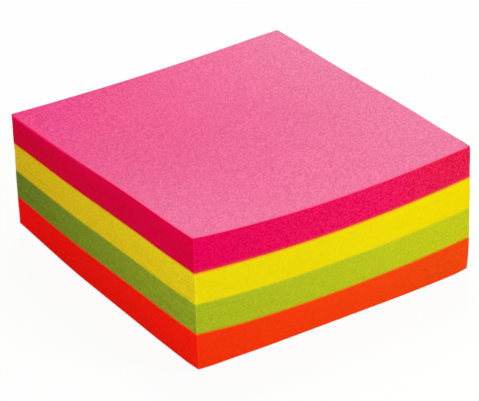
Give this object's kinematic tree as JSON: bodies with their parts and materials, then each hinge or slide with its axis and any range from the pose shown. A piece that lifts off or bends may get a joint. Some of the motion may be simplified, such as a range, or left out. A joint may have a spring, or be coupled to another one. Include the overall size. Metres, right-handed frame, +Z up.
{
  "type": "sticky note pad",
  "caption": "Square block of sticky notes in neon pink, yellow, lime green and orange-red runs, gently curled, on a thin white release sheet.",
  "frame": {"origin": "centre of the square footprint, on the surface that the block rests on", "axes": "+Z up through the stack, +X towards the glued edge of the notes, Y along the glue strip"},
  "size_m": [0.076, 0.076, 0.0337],
  "materials": {
    "release_paper": "satin",
    "orange_paper": "matte",
    "green_paper": "matte",
    "yellow_paper": "matte",
    "pink_paper": "matte"
  },
  "bodies": {
    "root": {"backing_sheet": "release_paper", "orange_pad": "orange_paper", "green_pad": "green_paper", "yellow_pad": "yellow_paper", "pink_pad": "pink_paper"}
  },
  "joints": []
}
